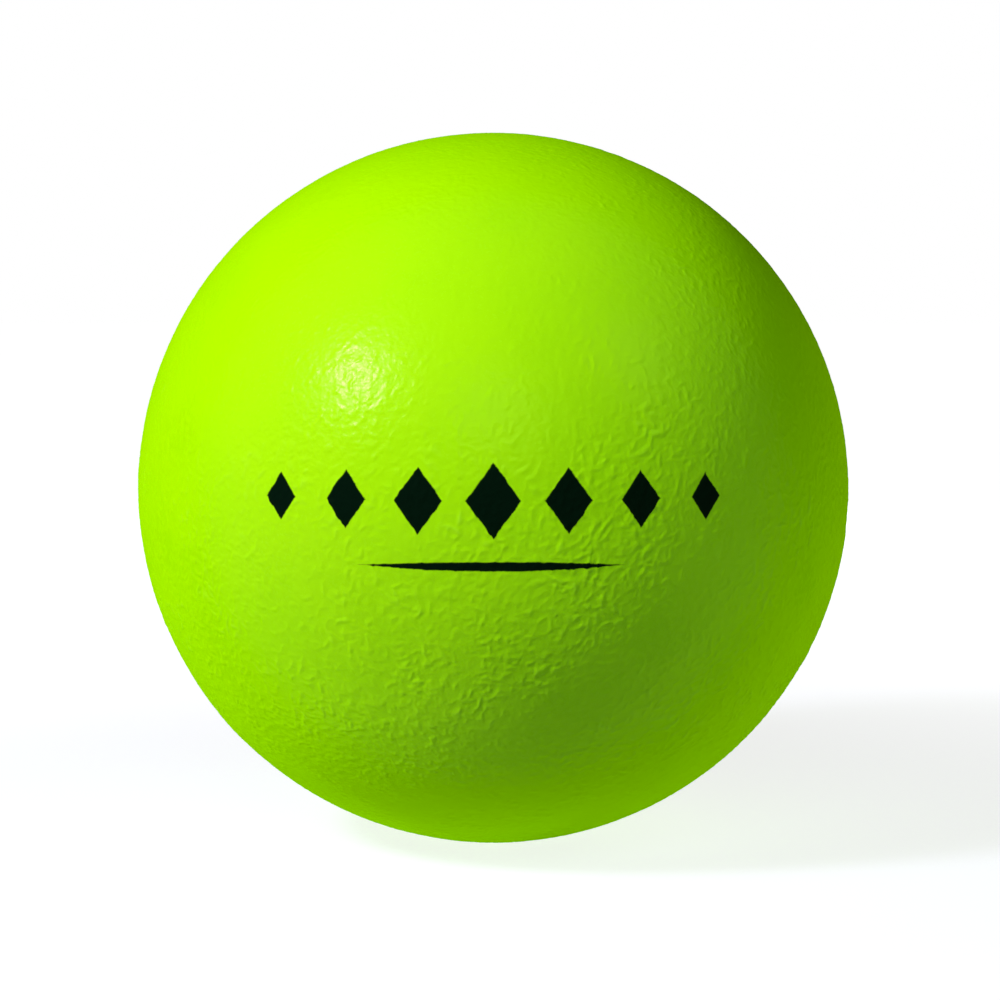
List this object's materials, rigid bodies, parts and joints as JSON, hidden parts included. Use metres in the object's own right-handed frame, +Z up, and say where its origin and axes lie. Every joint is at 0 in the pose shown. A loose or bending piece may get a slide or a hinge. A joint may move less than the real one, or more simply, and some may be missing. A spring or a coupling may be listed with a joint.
{
  "type": "foam ball",
  "caption": "Round soft foam play ball with a thin, finely wrinkled elastic skin, for throwing and catching indoors.",
  "frame": {"origin": "centre of the ball", "axes": "+Z up, away from the plugged needle hole, which is at the lowest point; the front of the ball faces -Y; +X is to the right seen from the front"},
  "size_m": [0.16, 0.16, 0.16],
  "materials": {
    "foam": "soft open-cell polyurethane foam, pale cream",
    "skin": "sprayed polyurethane skin, fluorescent yellow-green, finely wrinkled, satin gloss",
    "plug": "dab of the same polyurethane coating, smooth and a little glossier"
  },
  "bodies": {
    "root": {"foam_core": "foam", "skin": "skin", "needle_hole_plug": "plug"}
  },
  "joints": []
}
